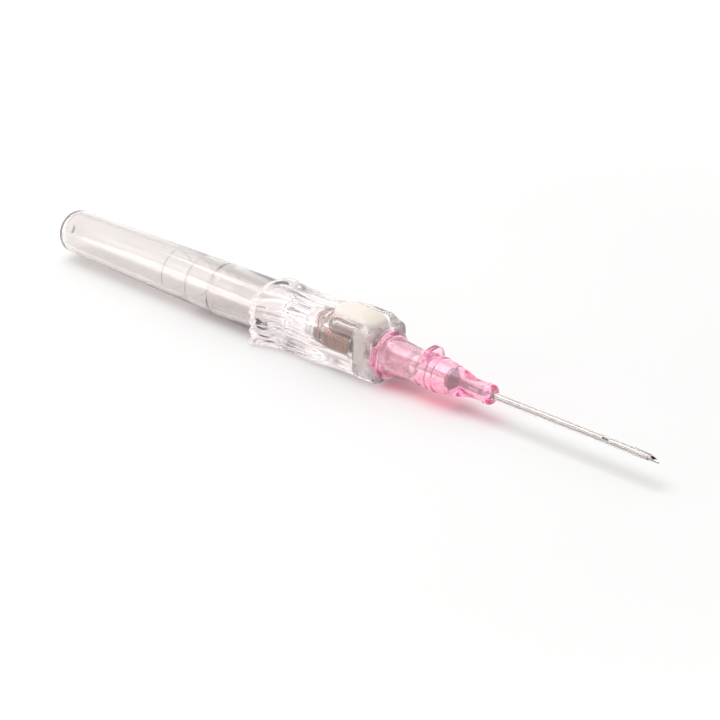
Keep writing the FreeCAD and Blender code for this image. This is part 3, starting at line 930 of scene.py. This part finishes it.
@dataclass
class Needle:
    """Steel needle with a ground point and a flash notch."""

    tip_x: float = 26.65
    rear_x: float = -24.65
    radius: float = 0.36
    bore_radius: float = 0.25
    bevel_angle: float = 24.0
    lancet_angle: float = 31.0
    lancet_turn: float = 38.0
    lancet_advance: float = 0.05
    notch_from_tip: float = 8.4
    notch_length: float = 1.1
    notch_depth: float = 0.22
    notch_half_width: float = 0.5
    notch_top: float = 0.7
    finish: SteelFinish = SteelFinish(
        "needle steel", (0.50, 0.465, 0.445), (0.40, 0.37, 0.35), 0.20)

    def point(self, y: Array, z: Array) -> Array:
        """Station at which the ground point ends each line along the tube.

        Formula: a plane at a grind's angle recedes with the height above the tube's lowest line
        over the tangent of the angle; two more planes are turned about the axis, and the
        rearmost of the three counts.
        """
        def plane(angle: float, advance: float, turn: float) -> Array:
            """Station of one ground plane."""
            lean = math.radians(turn)
            height = z * math.cos(lean) + y * math.sin(lean) + self.radius
            return self.tip_x + advance - height / math.tan(math.radians(angle))

        sides = [plane(self.lancet_angle, self.lancet_advance, way * self.lancet_turn)
                 for way in (-1, 1)]
        return np.minimum(plane(self.bevel_angle, 0, 0), np.minimum(*sides))

    def build(self) -> Piece:
        """Carries the tube's wall to its ground point, cuts the notch and dresses the needle."""
        around = 72
        angle = full_turn(around)[None]
        radii = np.linspace(self.radius, self.bore_radius, 5)
        reach = np.concatenate([np.full(9, self.radius), radii[1:-1],
                                np.full(9, self.bore_radius)])[:, None]
        share = np.concatenate([np.linspace(0, 1, 9), np.ones(3), np.linspace(1, 0, 9)])[:, None]
        y, z = reach * np.cos(angle), reach * np.sin(angle)
        x = self.rear_x + (self.point(y, z) - self.rear_x) * share
        points = np.stack([x, y, z], -1).reshape(-1, 3)
        piece = make_mesh("needle_tube", points, grid_faces(len(reach), around, True))
        middle = self.tip_x - self.notch_from_tip
        half, wide = self.notch_length / 2, self.notch_half_width
        floor = self.radius - self.notch_depth
        outline = np.array([(-wide, floor), (wide, floor), (wide, self.notch_top),
                            (-wide, self.notch_top)])
        notch = prism("notch", outline, middle - half, middle + half, 0.02)
        combine(piece, [(Cut.REMOVE, notch)])
        return dress(piece, self.finish.make(), Body.NEEDLE, "needle")


@dataclass
class Hub:
    """Tinted catheter hub with lugs, rings, push tab and rounded nose."""

    rear_x: float = -17.95
    base_front_x: float = -17.35
    base_radius: float = 3.30
    lug_radius: float = 3.90
    lug_half_width: float = 1.3
    lug_roll: float = 15.0
    neck_radius: float = 2.62
    waist_x: float = -12.6
    waist_radius: float = 2.18
    collar_rear_x: float = -10.8
    collar_front_x: float = -9.8
    collar_radius: float = 2.45
    shoulder_x: float = -8.1
    shoulder_radius: float = 2.27
    ring_half: float = 0.275
    ring_crest_half: float = 0.12
    ring_height: float = 0.14
    tab_half_width: float = 1.85
    tab_top: float = 3.50
    mouth_radius: float = 2.13
    luer_taper: float = 0.03
    luer_end_x: float = -11.05
    chamber_radius: float = 1.62
    ferrule_rear_x: float = -7.0
    nose: tuple[Corner, ...] = (
        (-6.2, 2.05, 0.55), (-3.3, 1.28, 1.3), (-1.6, 1.28, 0.5), (-1.1, 1.38, 0.3),
        (0, 1.38, 0.55))
    nose_bore: tuple[Corner, ...] = (
        (0, 0.65, 0.04), (-0.1, 0.55, 0.02), (-0.9, 0.55, 0.1), (-1.5, 0.62, 0.1),
        (-5.4, 0.65, 0.1), (-6.55, 1.40, 0.1), (-7.0, 1.40, 0.02))
    finish: ClearFinish = ClearFinish(
        "hub pink", (1.0, 0.87, 0.91), (1.0, 0.80, 0.86), (0.985, 0.74, 0.79),
        (1.0, 0.38, 0.70), 330.0, 0.90, 0.09, 0.3, 1.42)

    def ring(self, middle: float, base: float) -> list[Corner]:
        """Half section of one raised ring."""
        half, crest, top = self.ring_half, self.ring_crest_half, base + self.ring_height
        return [(middle - half, base, 0.06), (middle - crest, top, 0.09),
                (middle + crest, top, 0.09), (middle + half, base, 0.06)]

    def build(self) -> Piece:
        """Turns the hub, joins its lugs and tab, and dresses it."""
        front, base, waist = self.base_front_x, self.base_radius, self.waist_radius
        collar, collar_end, shoulder = (self.collar_rear_x, self.collar_front_x,
                                        self.shoulder_radius)
        chamber, luer_end = self.chamber_radius, self.luer_end_x
        corners: list[Corner] = [
            (self.rear_x, self.mouth_radius + 0.15, 0.04), (self.rear_x, base, 0.15),
            (front, base, 0.15), (front + 0.45, 2.84, 0.3), (front + 1.0, self.neck_radius, 0.4),
            (self.waist_x, waist, 0.3),
        ]
        corners += self.ring((collar + self.waist_x) / 2, waist)
        corners += [
            (collar, waist, 0.06), (collar, self.collar_radius, 0.12),
            (collar_end, self.collar_radius, 0.12), (collar_end, shoulder, 0.06),
        ]
        corners += self.ring((collar_end + self.shoulder_x) / 2, shoulder)
        corners += [
            (self.shoulder_x, shoulder, 0.2), *self.nose, *self.nose_bore,
            (self.ferrule_rear_x, chamber, 0.05), (luer_end, chamber, 0.05),
            (luer_end, self.mouth_radius + self.luer_taper * (self.rear_x - luer_end), 0.05),
            (self.rear_x + 0.15, self.mouth_radius, 0.04),
        ]
        piece = lathe("catheter_hub_moulding", corners, True, 120)
        roll = math.radians(-self.lug_roll)
        lugs = []
        for way in (-1, 1):
            reach, inner, wide = way * self.lug_radius, way * 2.9, self.lug_half_width
            outline = rounded_path([(inner, -wide, 0), (reach, -wide, 0.3), (reach, wide, 0.3),
                                    (inner, wide, 0)], True, 6)
            turned = outline @ np.array([[math.cos(roll), math.sin(roll)],
                                         [-math.sin(roll), math.cos(roll)]])
            lugs.append((Cut.ADD, prism("lug", turned, self.rear_x + 0.02, front - 0.02, 0.08)))
        wide = self.tab_half_width
        tab_outline = rounded_path([(-wide, 1.6, 0), (wide, 1.6, 0), (wide, self.tab_top, 1.5),
                                    (-wide, self.tab_top, 1.5)], True, 12)
        tab = prism("tab", tab_outline, collar + 0.02, collar_end - 0.02, 0.12)
        low, high, reach = collar - 1, collar_end + 1, chamber + 0.2
        well = lathe("tab_well", [
            (low, 0, 0), (low, reach, 0), (high, reach, 0), (high, 0, 0)], False, 64)
        combine(tab, [(Cut.REMOVE, well)])
        combine(piece, [*lugs, (Cut.ADD, tab)])
        return dress(piece, self.finish.make(), Body.CATHETER, "catheter_hub")


@dataclass
class Catheter:
    """Clear catheter tube and the steel ferrule that wedges it into the hub."""

    tip_x: float = 25.0
    taper_x: float = 21.8
    outer_radius: float = 0.55
    inner_radius: float = 0.40
    tip_radius: float = 0.435
    tip_bore: float = 0.375
    flare_radius: float = 0.65
    nose_radius: float = 0.62
    flare_rear_x: float = -5.25
    grip_front_x: float = -1.5
    nose_bore_x: float = -0.9
    wedge_radius: float = 0.47
    wedge_bore: float = 0.39
    funnel_x: float = -7.0
    funnel_radius: float = 1.40
    funnel_wall: float = 0.08
    tube_finish: ClearFinish = ClearFinish(
        "catheter clear", (0.96, 0.95, 0.945), (0.93, 0.92, 0.915), (0.85, 0.84, 0.83),
        (0.58, 0.52, 0.49), 900.0, 0.95, 0.05, 0.1, 1.4)
    ferrule_finish: SteelFinish = SteelFinish(
        "ferrule steel", (0.20, 0.14, 0.16), (0.14, 0.10, 0.12), 0.28)

    def build(self) -> list[Piece]:
        """Turns and dresses the tube and the ferrule."""
        outer, wedged = self.outer_radius - SKIN, self.wedge_radius + SKIN
        tube = lathe("catheter_sleeve", [
            (self.flare_rear_x, wedged, 0), (self.flare_rear_x, self.flare_radius - SKIN, 0.03),
            (self.grip_front_x, self.nose_radius - SKIN, 0.2), (self.nose_bore_x, outer, 0.2),
            (self.taper_x, outer, 1.0), (self.tip_x, self.tip_radius, 0.02),
            (self.tip_x, self.tip_bore, 0.01),
            (self.taper_x, self.inner_radius, 0), (self.nose_bore_x, self.inner_radius, 0),
            (self.grip_front_x, wedged, 0)], True, 72)
        dress(tube, self.tube_finish.make(), Body.CATHETER, "catheter_tube")
        rear, mouth = self.funnel_x + SKIN, self.funnel_radius - SKIN
        ferrule = lathe("wedge_funnel", [
            (rear, mouth - self.funnel_wall, 0), (rear, mouth, 0.02), (-6.55, mouth, 0.2),
            (-5.4, self.wedge_radius, 0.4), (self.grip_front_x, self.wedge_radius, 0),
            (self.grip_front_x, self.wedge_bore, 0), (-5.44, self.wedge_bore, 0.4),
            (-6.59, mouth - self.funnel_wall, 0.2)], True, 72)
        dress(ferrule, self.ferrule_finish.make(), Body.CATHETER, "wedge_ferrule")
        return [tube, ferrule]


# Table, light and camera


@dataclass
class Studio:
    """White table, soft light from behind and above, and the photograph's camera."""

    azimuth: float = 42.0
    elevation: float = 26.34
    focal_pixels: float = 3500.0
    frame_pixels: float = 720.0
    nose_pixel: tuple[float, float] = (494.0, 395.7)
    depth: float = 446.4
    sensor: float = 36.0
    table_reach: float = 3.0
    table_white: float = 0.86
    table_drop: float = 0.00002
    glow_from: float = 0.05
    glow_full: float = 0.40
    through_glow: float = 0.35
    seen_front: tuple[float, ...] = (0.82, 0.78, 0.77)
    seen_back: tuple[float, ...] = (1.0, 0.99, 0.98)
    seen_low: tuple[float, ...] = (0.96, 0.93, 0.92)
    lit_front: tuple[float, ...] = (0.24, 0.24, 0.24)
    lit_back: tuple[float, ...] = (0.74, 0.73, 0.72)
    seen_lift: float = 0.9
    seen_span: tuple[float, float] = (-0.75, 0.75)
    low_band: tuple[float, float] = (0.12, 0.55)
    lit_lift: float = 0.2
    lit_span: tuple[float, float] = (-0.5, 0.7)
    aim: Triple = (0.0, 0.0, 0.004)

    def seen(self, book: NodeBook, far: Amount) -> Amount:
        """Glow for rays from the camera, a gloss or a clear piece, 0 for light on the object.

        Formula: the distance's share for the camera and gloss, and for clear pieces the same
        share raised to start at through_glow.
        """
        raised = far * (1 - self.through_glow) + self.through_glow
        return (book.rays("Camera").most(book.rays("Glossy")) * far
                + book.rays("Transmission") * raised)

    def table(self) -> Piece:
        """White table top with a glow that only the eye sees.

        Formula: the glow rises smoothly with the distance from the object, so that the table
        stays white to its far edge and keeps the shadows near the object.
        """
        reach = self.table_reach
        mesh = bpy.data.meshes.new("table_top")
        mesh.from_pydata([(x, y, -self.table_drop) for x, y in (
            (-reach, -reach), (reach, -reach), (reach, reach), (-reach, reach))], [],
                         [(0, 1, 2, 3)])
        floor = link("table_top", mesh)
        material, book = new_material("table white")
        far = book.ramp(book.measure("LENGTH", book.place((1, 1, 1))), self.glow_from,
                        self.glow_full)
        glow = book.blend(self.seen(book, far), colour(0, 0, 0), colour(1, 1, 1))
        body = book.add("BsdfPrincipled", {
            "Base Color": colour(*[self.table_white] * 3), "Roughness": 0.9,
            "Specular IOR Level": 0.0, "Emission Color": glow, "Emission Strength": 1.0})
        book.add("OutputMaterial", {"Surface": body.outputs[0]})
        mesh.materials.append(material)
        return floor

    def sky(self) -> None:
        """World that is white to the camera and graded for everything else.

        Formula: what gloss and clear pieces show brightens with the share of the direction that
        points up and away from the camera's side, and a low band has a colour of its own. What
        lights the object comes mostly from behind it, so its soft shadow falls to the front.
        """
        world = bpy.data.worlds.new("studio")
        bpy.context.scene.world = world
        world.use_nodes = True
        book = NodeBook(world.node_tree)
        where = book.add("TexCoord").outputs["Generated"]
        turn = math.radians(self.azimuth)
        x, y = -math.sin(turn), math.cos(turn)
        grade = book.ramp(book.measure("DOT_PRODUCT", where, (x, y, self.seen_lift)),
                          *self.seen_span)
        seen = book.blend(grade, colour(*self.seen_front), colour(*self.seen_back))
        height = book.add("SeparateXYZ", {"Vector": where}).outputs["Z"]
        seen = book.blend(book.ramp(height, *self.low_band, 1.0, 0.0), seen,
                          colour(*self.seen_low))
        behind = book.ramp(book.measure("DOT_PRODUCT", where, (x, y, self.lit_lift)),
                           *self.lit_span)
        lit = book.blend(behind, colour(*self.lit_front), colour(*self.lit_back))
        mixed = book.blend(book.rays("Diffuse"), seen, lit)
        final = book.blend(book.rays("Camera"), mixed, colour(1, 1, 1))
        glow = book.add("Background", {"Color": final, "Strength": 1.0})
        book.add("OutputWorld", {"Surface": glow.outputs[0]})

    def lamp(self, name: str, place: Triple, size: float, watts: float) -> None:
        """Square soft lamp that points at the grip."""
        light = bpy.data.lights.new(name, "AREA")
        light.size = size
        light.energy = watts
        holder = link(name, light)
        where = Vector(place)
        holder.location = where
        holder.rotation_euler = (where - Vector(self.aim)).to_track_quat("Z", "Y").to_euler()

    def camera(self) -> None:
        """Camera fitted to the photograph by the hub's nose, its pixel and its depth."""
        data = bpy.data.cameras.new("camera")
        data.sensor_width = self.sensor
        data.lens = self.focal_pixels / self.frame_pixels * self.sensor
        data.clip_start = 0.01
        data.clip_end = 20
        holder = link("camera", data)
        turn, lift = math.radians(self.azimuth), math.radians(self.elevation)
        back = np.array([math.sin(turn) * math.cos(lift), -math.cos(turn) * math.cos(lift),
                         math.sin(lift)])
        right = np.array([math.cos(turn), math.sin(turn), 0])
        up = np.cross(back, right)
        centre = self.frame_pixels / 2
        aside = (self.nose_pixel[0] - centre) / self.focal_pixels * self.depth
        above = (centre - self.nose_pixel[1]) / self.focal_pixels * self.depth
        nose = np.array([NOSE_STATION, 0, AXIS_HEIGHT])
        place = (nose + back * self.depth - right * aside - up * above) * MILLIMETRE
        rows = np.column_stack([right, up, back, place]).tolist()
        holder.matrix_world = Matrix([*rows, [0, 0, 0, 1]])
        bpy.context.scene.camera = holder

    def build(self) -> None:
        """Sets up table, sky, lamps and camera."""
        self.camera()
        self.table()
        self.sky()
        self.lamp("key", (-0.16, -0.10, 0.58), 0.50, 3.0)
        self.lamp("side", (-0.33, -0.39, 0.11), 0.20, 0.40)
        bpy.context.scene.view_settings.view_transform = "Standard"


def main() -> None:
    """Builds the cannula and its studio in order."""
    logging.basicConfig(level=logging.INFO, format="%(name)s: %(message)s")
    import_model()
    Studio().build()
    barrel, button = Barrel(), Button()
    barrel.build()
    Grip().build(barrel, button)
    button.build()
    Spring().build()
    Carriage().build()
    Needle().build()
    Hub().build()
    Catheter().build()


if __name__ == "__main__":
    main()
